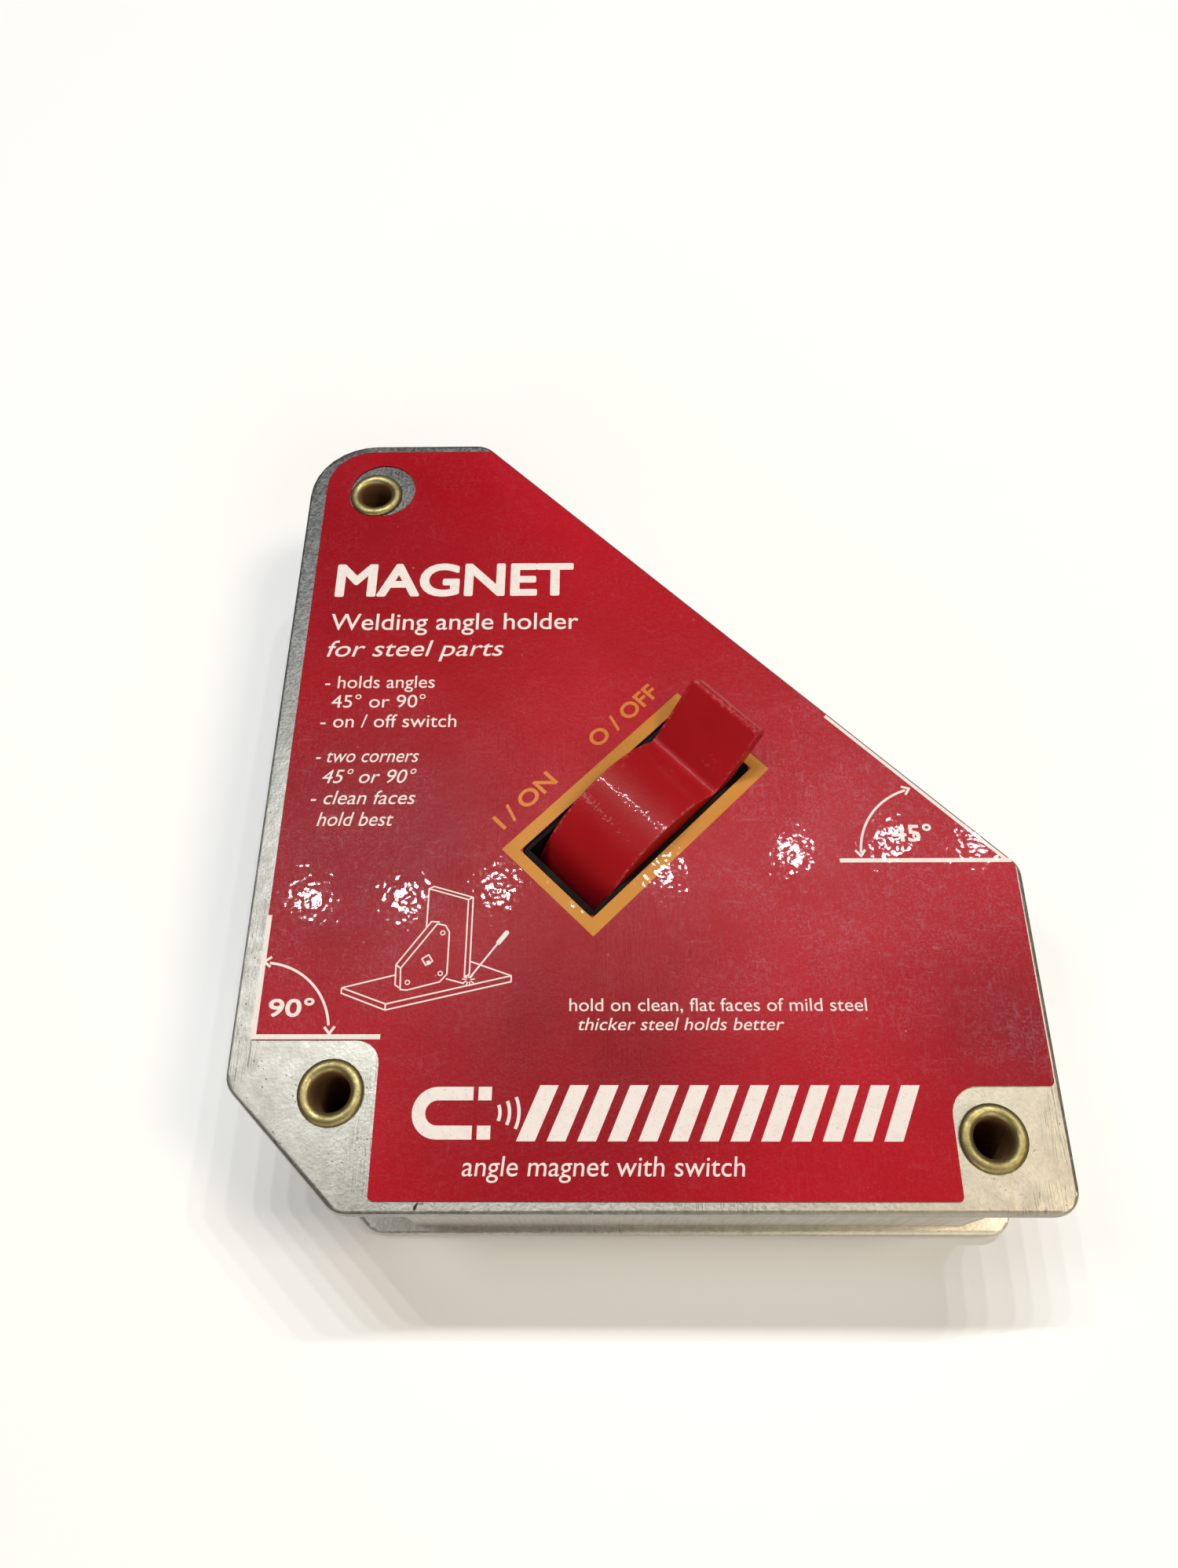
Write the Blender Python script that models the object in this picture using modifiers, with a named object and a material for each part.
"""Switchable welding magnet holder: two steel pole plates riveted round an
on/off magnet rotor that a red rocker lever turns through a quarter turn.

Millimetre constants, metres in the scene, +Z up. The holder lies flat with its
switch face up. The origin is the centre of its bounding box at the bottom.
Plan coordinates run from the virtual heel corner of the plates: x to the
right, y up the long straight edge, z from the front plate's outer face.
"""

import math

import bmesh
import bpy
from mathutils import Matrix, Vector

MM = 0.001

# Pole plates
PLATE_W = 131.5
PLATE_H = 152.0
PLATE_T = 2.5
BODY_T = 35.0
SLANT = 187.8  # x + y along the 45 degree edge
HEEL = 19.3  # leg of the cut heel corner
RIM_R = 0.7

# Window in the front plate, its long side square to the 45 degree edge
WIN_X, WIN_Y = 66.1, 67.2
WIN_L, WIN_B = 40.0, 17.6
WIN_R = 1.0

# Printed films
LABEL_T = 0.25
LABEL_GAP = 0.05

# Tubular rivets (eyelets)
EYELETS = {"top": (13.8, 138.4), "heel": (17.1, 18.1), "toe": (119.7, 11.2)}
EYELET_BORE_R = 3.1
EYELET_TUBE_R = 3.9
EYELET_FLANGE_R = 5.3
EYELET_PROUD = 0.9
RIVET_HOLE_R = 4.25
DISTANCE_TUBE_R = 5.5

# Spacer bars between the plates
CORE_GAP = 0.1
BAR_RECESS = 1.5
BAR_T = 3.5

# Rotor axis, in the window's own frame: along the window from its centre,
# and below the front face
AXIS_U = -0.7
AXIS_Z = -12.7
THROW = 90.0  # degrees from off to on

# Rocker lever
DRUM_R = 17.6
DRUM_HALF_W = 7.65
DRUM_FROM, DRUM_TO = -95.0, 150.0  # degrees from vertical
HUB_R = 6.5
TAB_ANGLE = 45.4
TAB_R = 32.0
TAB_T = 2.8
TAB_FILLET = 1.4
TAB_TIP_R = 1.0
TAB_TIP_HALF_W = 7.9
TAB_FLARE_FROM = 19.5
TAB_CORNER_R = 1.3

# Well
WELL_WALL = 0.65
WELL_END_WALL = 1.0
WELL_CLEAR = 0.25
WELL_TOP = -0.15
WELL_BOTTOM = -31.9
WELL_FLOOR = 1.2
WELL_SHAFT_HOLE_R = 4.7

# Rotor
SHAFT_SQ = 6.0
SHAFT_SQ_HALF = 33.25
JOURNAL_R = 2.8
SHAFT_HALF = 45.0
BORE_SQ = 6.2
MAGNET_FROM, MAGNET_TO = 9.3, 33.2
MAGNET_R = 8.05
CARRIER_HALF = 4.25
MAGNET_CHORD = 4.35
SLEEVE_IN, SLEEVE_OUT = 8.15, 8.6
CLIP_FROM, CLIP_TO, CLIP_R = 42.7, 43.6, 5.2

# Pole shoes and bearings
SHOE_BORE_R = 9.0
SHOE_HALF_W = 13.0
SHOE_LIP = 4.0
BLOCK_FROM, BLOCK_TO, BLOCK_HALF_W = 34.3, 42.3, 9.0
BUSH_IN, BUSH_OUT, BUSH_FLANGE = 2.86, 5.0, 6.4
BUSH_FLANGE_T = 0.8
BLOCK_BORE_R = 5.1
STOP_ANGLE, STOP_RADIUS, STOP_R, STOP_HALF = 162.5, 13.0, 2.4, 9.1

STAND = BODY_T + EYELET_PROUD

for obj in list(bpy.data.objects):
    bpy.data.objects.remove(obj, do_unlink=True)

parts = bpy.data.collections.new("welding_magnet_holder")
cutters = bpy.data.collections.new("cutters")
bpy.context.scene.collection.children.link(parts)
bpy.context.scene.collection.children.link(cutters)
cutters.hide_render = True


def at(x, y, z=0.0):
    """Plan coordinates in millimetres to the holder's frame in metres."""
    return Vector((x - PLATE_W / 2, y - PLATE_H / 2, z + STAND)) * MM


def material(name, color, roughness, metallic=0.0):
    mat = bpy.data.materials.new(name)
    mat.use_nodes = True
    shader = mat.node_tree.nodes["Principled BSDF"]
    shader.inputs["Base Color"].default_value = (*color, 1.0)
    shader.inputs["Roughness"].default_value = roughness
    shader.inputs["Metallic"].default_value = metallic
    mat.diffuse_color = (*color, 1.0)
    return mat


GALVANISED = ((0.62, 0.60, 0.56), 0.42, 1.0)
BRASS = ((0.52, 0.43, 0.20), 0.38, 1.0)
FILM = ((0.48, 0.015, 0.03), 0.22, 0.0)
ALUMINIUM = ((0.60, 0.59, 0.57), 0.35, 1.0)
RED_PLASTIC = ((0.42, 0.012, 0.02), 0.25, 0.0)
BLACK_PLASTIC = ((0.012, 0.012, 0.012), 0.5, 0.0)
STEEL = ((0.45, 0.45, 0.46), 0.35, 1.0)
MAGNET = ((0.55, 0.55, 0.57), 0.25, 1.0)
BRONZE = ((0.50, 0.30, 0.14), 0.4, 1.0)
GREY_PLASTIC = ((0.20, 0.20, 0.21), 0.55, 0.0)


def smooth(mesh, angle=35):
    mesh.shade_smooth()
    mesh.set_sharp_from_angle(angle=math.radians(angle))


def finish(obj, look, parent=None):
    obj.data.materials.clear()
    obj.data.materials.append(material(obj.name, *look))
    if parent:
        obj.parent = parent
    return obj


def rounded(corners, step=12.0):
    """Polygon through (x, y, radius) corners, each turned into an arc."""
    points = []
    count = len(corners)
    for i, (x, y, radius) in enumerate(corners):
        here = Vector((x, y))
        back = Vector(corners[i - 1][:2]) - here
        ahead = Vector(corners[(i + 1) % count][:2]) - here
        if radius <= 0:
            points.append((x, y))
            continue
        back.normalize()
        ahead.normalize()
        half = back.angle(ahead) / 2
        middle = (back + ahead).normalized()
        centre = here + middle * (radius / math.sin(half))
        reach = radius / math.tan(half)
        start = here + back * reach - centre
        turn = start.angle_signed(here + ahead * reach - centre)
        steps = max(2, round(abs(math.degrees(turn)) / step))
        for k in range(steps + 1):
            angle = -turn * k / steps
            c, s = math.cos(angle), math.sin(angle)
            points.append(
                (
                    centre.x + start.x * c - start.y * s,
                    centre.y + start.x * s + start.y * c,
                )
            )
    return points


def circle(radius, count=36, x=0.0, y=0.0, phase=0.0):
    return [
        (
            x + radius * math.cos(phase + 2 * math.pi * k / count),
            y + radius * math.sin(phase + 2 * math.pi * k / count),
        )
        for k in range(count)
    ]


def polar(radius, degrees):
    """Point in the rotor's end view, with the angle from vertical."""
    a = math.radians(degrees)
    return (radius * math.sin(a), radius * math.cos(a))


def arc(radius, start, stop, step=5.0):
    count = max(1, round(abs(stop - start) / step))
    return [polar(radius, start + (stop - start) * k / count) for k in range(count + 1)]


def slab(name, loops, half, ngon=False):
    """Closed mesh of a flat outline in its local XY, extruded by half both ways."""
    curve = bpy.data.curves.new(name + "_outline", "CURVE")
    curve.dimensions = "2D"
    curve.fill_mode = "BOTH"
    curve.extrude = half * MM
    for loop in loops:
        spline = curve.splines.new("POLY")
        spline.points.add(len(loop) - 1)
        for point, (x, y) in zip(spline.points, loop):
            point.co = (x * MM, y * MM, 0, 1)
        spline.use_cyclic_u = True
    source = bpy.data.objects.new(name + "_outline", curve)
    parts.objects.link(source)
    graph = bpy.context.evaluated_depsgraph_get()
    mesh = bpy.data.meshes.new_from_object(source.evaluated_get(graph))
    mesh.name = name
    bpy.data.objects.remove(source, do_unlink=True)
    bpy.data.curves.remove(curve)
    shape = bmesh.new()
    shape.from_mesh(mesh)
    bmesh.ops.remove_doubles(shape, verts=shape.verts, dist=0.000004)
    if ngon:
        bmesh.ops.dissolve_limit(
            shape,
            angle_limit=math.radians(0.5),
            verts=shape.verts,
            edges=shape.edges,
        )
    bmesh.ops.recalc_face_normals(shape, faces=shape.faces)
    shape.to_mesh(mesh)
    shape.free()
    smooth(mesh)
    obj = bpy.data.objects.new(name, mesh)
    parts.objects.link(obj)
    return obj


def box(name, size, collection=parts):
    shape = bmesh.new()
    bmesh.ops.create_cube(shape, size=1.0)
    bmesh.ops.scale(shape, vec=Vector(size) * MM, verts=shape.verts)
    mesh = bpy.data.meshes.new(name)
    shape.to_mesh(mesh)
    shape.free()
    obj = bpy.data.objects.new(name, mesh)
    collection.objects.link(obj)
    return obj


def turned(name, profile, steps=36):
    """A profile of (radius, height), outer side top to bottom, turned about Z."""
    mesh = bpy.data.meshes.new(name)
    points = [(r * MM, 0.0, h * MM) for r, h in profile]
    edges = [(k, (k + 1) % len(points)) for k in range(len(points))]
    mesh.from_pydata(points, edges, [])
    obj = bpy.data.objects.new(name, mesh)
    parts.objects.link(obj)
    screw = obj.modifiers.new("Screw", "SCREW")
    screw.axis = "Z"
    screw.steps = steps
    screw.render_steps = steps
    screw.use_merge_vertices = True
    screw.merge_threshold = 0.00001
    screw.use_smooth_shade = True
    screw.use_normal_calculate = False
    return obj


def as_cutter(obj):
    for collection in list(obj.users_collection):
        collection.objects.unlink(obj)
    cutters.objects.link(obj)
    obj.hide_render = True
    obj.display_type = "WIRE"
    return obj


def rod_cutter(name, radius, half, count=36):
    shape = bmesh.new()
    bmesh.ops.create_cone(
        shape,
        cap_ends=True,
        segments=count,
        radius1=radius * MM,
        radius2=radius * MM,
        depth=2 * half * MM,
    )
    mesh = bpy.data.meshes.new(name)
    shape.to_mesh(mesh)
    shape.free()
    obj = bpy.data.objects.new(name, mesh)
    parts.objects.link(obj)
    return as_cutter(obj)


def cut(obj, *tools):
    for tool in tools:
        boolean = obj.modifiers.new("Cut_" + tool.name, "BOOLEAN")
        boolean.operation = "DIFFERENCE"
        boolean.solver = "EXACT"
        boolean.object = tool
    return obj


def bevel(obj, width, segments=2, angle=40):
    mod = obj.modifiers.new("Bevel", "BEVEL")
    mod.width = width * MM
    mod.segments = segments
    mod.limit_method = "ANGLE"
    mod.angle_limit = math.radians(angle)
    mod.use_clamp_overlap = True
    mod.harden_normals = False
    return mod


# ---------------------------------------------------------------- pole plates
PLATE_OUTLINE = [
    (HEEL, 0.0, 4.5),
    (PLATE_W, 0.0, 4.0),
    (PLATE_W, SLANT - PLATE_W, 4.0),
    (SLANT - PLATE_H, PLATE_H, 5.0),
    (0.0, PLATE_H, 13.0),
    (0.0, HEEL, 4.5),
]

window_axis = bpy.data.objects.new("window_axis", None)
parts.objects.link(window_axis)
window_axis.location = at(WIN_X, WIN_Y)
window_axis.rotation_euler = (0, 0, math.radians(45))

rivet_cutters = []
for key, (x, y) in EYELETS.items():
    tool = rod_cutter("cut_rivet_" + key, RIVET_HOLE_R, 30)
    tool.location = at(x, y, -BODY_T / 2)
    rivet_cutters.append(tool)

hl, hb = WIN_L / 2, WIN_B / 2
window_cutter = slab(
    "cut_window",
    [
        rounded(
            [(-hl, -hb, WIN_R), (hl, -hb, WIN_R), (hl, hb, WIN_R), (-hl, hb, WIN_R)], 30
        )
    ],
    5.0,
)
as_cutter(window_cutter)
window_cutter.parent = window_axis

for name, z, tools in (
    ("front_plate", -PLATE_T / 2, [*rivet_cutters, window_cutter]),
    ("rear_plate", -BODY_T + PLATE_T / 2, rivet_cutters),
):
    plate = slab(name, [rounded(PLATE_OUTLINE)], PLATE_T / 2, ngon=True)
    # The outline is in plan millimetres, so the object only shifts the origin.
    plate.location = at(0, 0, z)
    bevel(plate, RIM_R)
    cut(plate, *tools)
    finish(plate, GALVANISED)

# --------------------------------------------------------------------- films
LABEL_OUTLINE = [
    (3.5, 26.4, 0.6),
    (24.3, 26.4, 3.9),
    (24.3, 2.0, 0.8),
    (113.9, 2.0, 0.8),
    (113.9, 19.1, 4.6),
    (130.4, 19.1, 0.8),
    (130.4, 56.5, 1.5),
    (37.0, 149.9, 2.0),
    (3.5, 149.9, 9.0),
]

label_hole = rod_cutter("cut_label_hole", 6.6, 3, 48)
label_hole.location = at(15.1, 139.6)
flange_hole = rod_cutter("cut_flange_relief", EYELET_FLANGE_R + 0.15, 3, 48)
flange_hole.location = at(*EYELETS["top"])
rear_label_hole = rod_cutter("cut_rear_label_hole", 6.6, 3, 48)
rear_label_hole.location = at(*EYELETS["top"], -BODY_T)

front_label = slab("front_label", [rounded(LABEL_OUTLINE)], LABEL_T / 2, ngon=True)
front_label.location = at(0, 0, LABEL_GAP + LABEL_T / 2)
cut(front_label, label_hole, flange_hole, window_cutter)
finish(front_label, FILM)

rear_label = slab("rear_label", [rounded(LABEL_OUTLINE)], LABEL_T / 2, ngon=True)
rear_label.location = at(0, 0, -BODY_T - LABEL_GAP - LABEL_T / 2)
cut(rear_label, rear_label_hole)
finish(rear_label, FILM)

# ------------------------------------------------- eyelets and distance tubes
FLANGE_UNDER = 0.05
rolled = [
    (4.30, 0.90),
    (4.72, 0.83),
    (5.06, 0.64),
    (5.26, 0.40),
    (EYELET_FLANGE_R, 0.22),
    (5.22, FLANGE_UNDER),
    (EYELET_TUBE_R, FLANGE_UNDER),
]
mouth = [
    (EYELET_BORE_R, -0.50),
    (3.15, 0.10),
    (3.32, 0.46),
    (3.62, 0.72),
    (3.96, 0.86),
]
half_body = BODY_T / 2
eyelet_profile = (
    [(r, half_body + h) for r, h in rolled]
    + [(r, -half_body - h) for r, h in reversed(rolled)]
    + [(r, -half_body - h) for r, h in reversed(mouth)]
    + [(r, half_body + h) for r, h in mouth]
)
inner = BODY_T / 2 - PLATE_T - CORE_GAP
for key, (x, y) in EYELETS.items():
    eyelet = turned("eyelet_" + key, eyelet_profile, 36)
    eyelet.location = at(x, y, -BODY_T / 2)
    finish(eyelet, BRASS)
    tube = slab(
        "distance_tube_" + key,
        [circle(DISTANCE_TUBE_R, 24), circle(RIVET_HOLE_R, 24)],
        inner,
    )
    tube.location = at(x, y, -BODY_T / 2)
    finish(tube, STEEL)

# ---------------------------------------------------------------- spacer bars
mid = BAR_RECESS + BAR_T / 2
slant_mid = (SLANT - mid * math.sqrt(2)) / 2
BARS = {
    # name: centre x, centre y, length, angle
    "spacer_bar_left": (mid, (28.0 + 134.0) / 2, 106.0, 90),
    "spacer_bar_top": ((15.5 + 31.0) / 2, PLATE_H - mid, 15.5, 0),
    "spacer_bar_slant": (
        slant_mid - (PLATE_H - PLATE_W) / 2,
        slant_mid + (PLATE_H - PLATE_W) / 2,
        118.0,
        -45,
    ),
    "spacer_bar_right": (PLATE_W - mid, (9.0 + 50.5) / 2, 41.5, 90),
    "spacer_bar_bottom": ((27.0 + 122.7) / 2, mid, 95.7, 0),
}
for name, (x, y, length, angle) in BARS.items():
    bar = box(name, (length, BAR_T, 2 * inner))
    bar.location = at(x, y, -BODY_T / 2)
    bar.rotation_euler = (0, 0, math.radians(angle))
    bevel(bar, 0.3, 1)
    finish(bar, ALUMINIUM)

# ----------------------------------------------------------------------- axes
# rotor_axis has its X along the window towards the 45 degree edge and its Y
# along the rotor, towards the upper left.
rotor_axis = bpy.data.objects.new("rotor_axis", None)
parts.objects.link(rotor_axis)
along = Vector((math.cos(math.radians(45)), math.sin(math.radians(45)), 0))
rotor_axis.location = at(WIN_X, WIN_Y, AXIS_Z) + along * AXIS_U * MM
rotor_axis.rotation_euler = (0, 0, math.radians(45))
END_ON = (math.radians(90), 0, 0)


def on_axis(obj, distance=0.0):
    """Stands an end-view outline on the rotor axis, at a distance along it."""
    obj.parent = rotor_axis
    obj.rotation_euler = END_ON
    obj.location = (0, distance * MM, 0)
    return obj


SIDES = (("upper", 1), ("lower", -1))

# ------------------------------------------------------------- rocker lever
n = Vector(polar(1, TAB_ANGLE))
m = Vector((n.y, -n.x))


def tab_point(out, offset):
    return tuple(n * out + m * offset)


far = DRUM_R + TAB_FILLET
top_reach = math.sqrt(far**2 - TAB_FILLET**2)
top_centre = n * top_reach - m * TAB_FILLET
top_start = TAB_ANGLE - math.degrees(math.asin(TAB_FILLET / far))
under = TAB_T + TAB_FILLET
under_reach = math.sqrt(far**2 - under**2)
under_centre = n * under_reach + m * under
under_start = TAB_ANGLE + math.degrees(math.asin(under / far))


def swing(centre, radius, start, stop, count):
    """Arc round a centre between two directions, given as vectors."""
    a = math.atan2(start.y, start.x)
    b = math.atan2(stop.y, stop.x)
    turn = (b - a + math.pi) % (2 * math.pi) - math.pi
    return [
        (
            centre.x + radius * math.cos(a + turn * k / count),
            centre.y + radius * math.sin(a + turn * k / count),
        )
        for k in range(count + 1)
    ]


tip_top = n * (TAB_R - TAB_TIP_R) + m * TAB_TIP_R
tip_under = n * (TAB_R - TAB_TIP_R) + m * (TAB_T - TAB_TIP_R)
outline = (
    arc(DRUM_R, DRUM_FROM, top_start)
    + swing(top_centre, TAB_FILLET, -top_centre, m, 5)[1:]
    + swing(tip_top, TAB_TIP_R, -m, n, 4)
    + swing(tip_under, TAB_TIP_R, n, m, 4)
    + swing(under_centre, TAB_FILLET, -m, -under_centre, 4)
    + arc(DRUM_R, under_start, DRUM_TO)[1:]
    + arc(HUB_R, DRUM_TO, DRUM_FROM + 360, 12)
)
lever = on_axis(slab("rocker_lever", [outline], DRUM_HALF_W, ngon=True))
square_cutter = box("cut_square_bore", (BORE_SQ, BORE_SQ, 120), cutters)
on_axis(as_cutter(square_cutter))
# The finger tab widens a little towards its tip, whose corners are rounded.
shape = bmesh.new()
shape.from_mesh(lever.data)
corner_from = TAB_R - TAB_CORNER_R
rings = [TAB_FLARE_FROM] + [
    corner_from + TAB_CORNER_R * math.sin(math.radians(a)) for a in (0, 25, 48, 68)
]
for out in rings:
    bmesh.ops.bisect_plane(
        shape,
        geom=shape.verts[:] + shape.edges[:] + shape.faces[:],
        dist=0.000001,
        plane_co=(n.x * out * MM, n.y * out * MM, 0),
        plane_no=(n.x, n.y, 0),
    )
for vertex in shape.verts:
    out = (vertex.co.x * n.x + vertex.co.y * n.y) / MM
    if out <= TAB_FLARE_FROM:
        continue
    share = (out - TAB_FLARE_FROM) / (TAB_R - TAB_FLARE_FROM)
    half = DRUM_HALF_W + share * (TAB_TIP_HALF_W - DRUM_HALF_W)
    over = min(1.0, max(0.0, (out - corner_from) / TAB_CORNER_R))
    half -= TAB_CORNER_R * (1 - math.sqrt(1 - over**2))
    vertex.co.z = math.copysign(half * MM, vertex.co.z)
shape.to_mesh(lever.data)
shape.free()
bevel(lever, 0.3)
cut(lever, square_cutter)
finish(lever, RED_PLASTIC, rotor_axis)

# --------------------------------------------------------------------- shaft
shaft = box("rotor_shaft", (SHAFT_SQ, SHAFT_SQ, 2 * SHAFT_SQ_HALF))
journal = rod_cutter("add_journals", JOURNAL_R, SHAFT_HALF, 36)
on_axis(journal)
on_axis(shaft)
union = shaft.modifiers.new("Journals", "BOOLEAN")
union.operation = "UNION"
union.solver = "EXACT"
union.object = journal
finish(shaft, STEEL, rotor_axis)

# -------------------------------------------- magnets, carriers and sleeves
half_magnet = (MAGNET_TO - MAGNET_FROM) / 2
mid_magnet = (MAGNET_TO + MAGNET_FROM) / 2
edge = math.degrees(math.asin(CARRIER_HALF / MAGNET_R))
chord = math.degrees(math.acos(MAGNET_CHORD / MAGNET_R))
carrier_outline = arc(MAGNET_R, -edge, edge, 8) + arc(
    MAGNET_R, 180 - edge, 180 + edge, 8
)
b = BORE_SQ / 2
bore = [(-b, -b), (b, -b), (b, b), (-b, b)]
for side, sign in SIDES:
    distance = sign * mid_magnet
    finish(
        on_axis(
            slab("magnet_carrier_" + side, [carrier_outline, bore], half_magnet),
            distance,
        ),
        GREY_PLASTIC,
        rotor_axis,
    )
    for pole, centre in (("north", 90), ("south", 270)):
        finish(
            on_axis(
                slab(
                    f"rotor_magnet_{side}_{pole}",
                    [arc(MAGNET_R, centre - chord, centre + chord, 10)],
                    half_magnet,
                ),
                distance,
            ),
            MAGNET,
            rotor_axis,
        )
    finish(
        on_axis(
            slab(
                "rotor_sleeve_" + side,
                [circle(SLEEVE_OUT, 48), circle(SLEEVE_IN, 48)],
                half_magnet,
            ),
            distance,
        ),
        STEEL,
        rotor_axis,
    )
    clip = arc(CLIP_R, 25, 335, 15) + arc(JOURNAL_R + 0.1, 335, 25, 15)
    finish(
        on_axis(
            slab("retaining_ring_" + side, [clip], (CLIP_TO - CLIP_FROM) / 2),
            sign * (CLIP_TO + CLIP_FROM) / 2,
        ),
        STEEL,
        rotor_axis,
    )

# ------------------------------------------ pole shoes, bearing blocks, bushes
ceiling = -PLATE_T - CORE_GAP - AXIS_Z
ground = -BODY_T + PLATE_T + CORE_GAP - AXIS_Z
lip = math.degrees(math.acos(SHOE_LIP / SHOE_BORE_R))
w = SHOE_HALF_W
front_shoe = [(-w, SHOE_LIP), (-w, ceiling), (w, ceiling), (w, SHOE_LIP)] + arc(
    SHOE_BORE_R, lip, -lip, 6
)
rear_shoe = [(w, -SHOE_LIP), (w, ground), (-w, ground), (-w, -SHOE_LIP)] + arc(
    SHOE_BORE_R, 180 + lip, 180 - lip, 6
)
bw = BLOCK_HALF_W
block = [(-bw, ground), (bw, ground), (bw, ceiling), (-bw, ceiling)]
half_block = (BLOCK_TO - BLOCK_FROM) / 2
mid_block = (BLOCK_TO + BLOCK_FROM) / 2
bush_profile = [
    (BUSH_FLANGE, half_block + CORE_GAP + BUSH_FLANGE_T),
    (BUSH_FLANGE, half_block + CORE_GAP),
    (BUSH_OUT, half_block + CORE_GAP),
    (BUSH_OUT, -half_block),
    (BUSH_IN, -half_block),
    (BUSH_IN, half_block + CORE_GAP + BUSH_FLANGE_T),
]
for side, sign in SIDES:
    for face, shape in (("front", front_shoe), ("rear", rear_shoe)):
        finish(
            on_axis(
                slab(f"pole_shoe_{face}_{side}", [shape], half_magnet),
                sign * mid_magnet,
            ),
            STEEL,
        )
    finish(
        on_axis(
            slab(
                "bearing_block_" + side, [block, circle(BLOCK_BORE_R, 36)], half_block
            ),
            sign * mid_block,
        ),
        ALUMINIUM,
    )
    bush = turned("bearing_bush_" + side, bush_profile, 36)
    bush.parent = rotor_axis
    bush.rotation_euler = (math.radians(90 * sign), 0, 0)
    bush.location = (0, sign * mid_block * MM, 0)
    finish(bush, BRONZE)

# ---------------------------------------------------------- well and stop pin
well_l = WIN_L - 2 * WELL_CLEAR
well_b = WIN_B - 2 * WELL_CLEAR
well_h = WELL_TOP - WELL_BOTTOM
well = slab(
    "switch_well",
    [
        rounded(
            [
                (-well_l / 2, -well_b / 2, 0.8),
                (well_l / 2, -well_b / 2, 0.8),
                (well_l / 2, well_b / 2, 0.8),
                (-well_l / 2, well_b / 2, 0.8),
            ],
            30,
        )
    ],
    well_h / 2,
    ngon=True,
)
well.parent = window_axis
well.location = (0, 0, (WELL_TOP + WELL_BOTTOM) / 2 * MM)
cavity = box(
    "cut_well_cavity",
    (well_l - 2 * WELL_END_WALL, well_b - 2 * WELL_WALL, well_h),
    cutters,
)
as_cutter(cavity)
cavity.parent = window_axis
cavity.location = (0, 0, ((WELL_TOP + WELL_BOTTOM) / 2 + WELL_FLOOR) * MM)
shaft_hole = on_axis(rod_cutter("cut_well_shaft_hole", WELL_SHAFT_HOLE_R, 20, 36))
stop_x, stop_z = polar(STOP_RADIUS, STOP_ANGLE)
stop_hole = on_axis(rod_cutter("cut_well_stop_hole", STOP_R + 0.1, 20, 24))
stop_hole.location = (stop_x * MM, 0, stop_z * MM)
cut(well, cavity, shaft_hole, stop_hole)
finish(well, BLACK_PLASTIC)

stop = on_axis(slab("stop_pin", [circle(STOP_R, 24)], STOP_HALF))
stop.location = (stop_x * MM, 0, stop_z * MM)
finish(stop, STEEL)
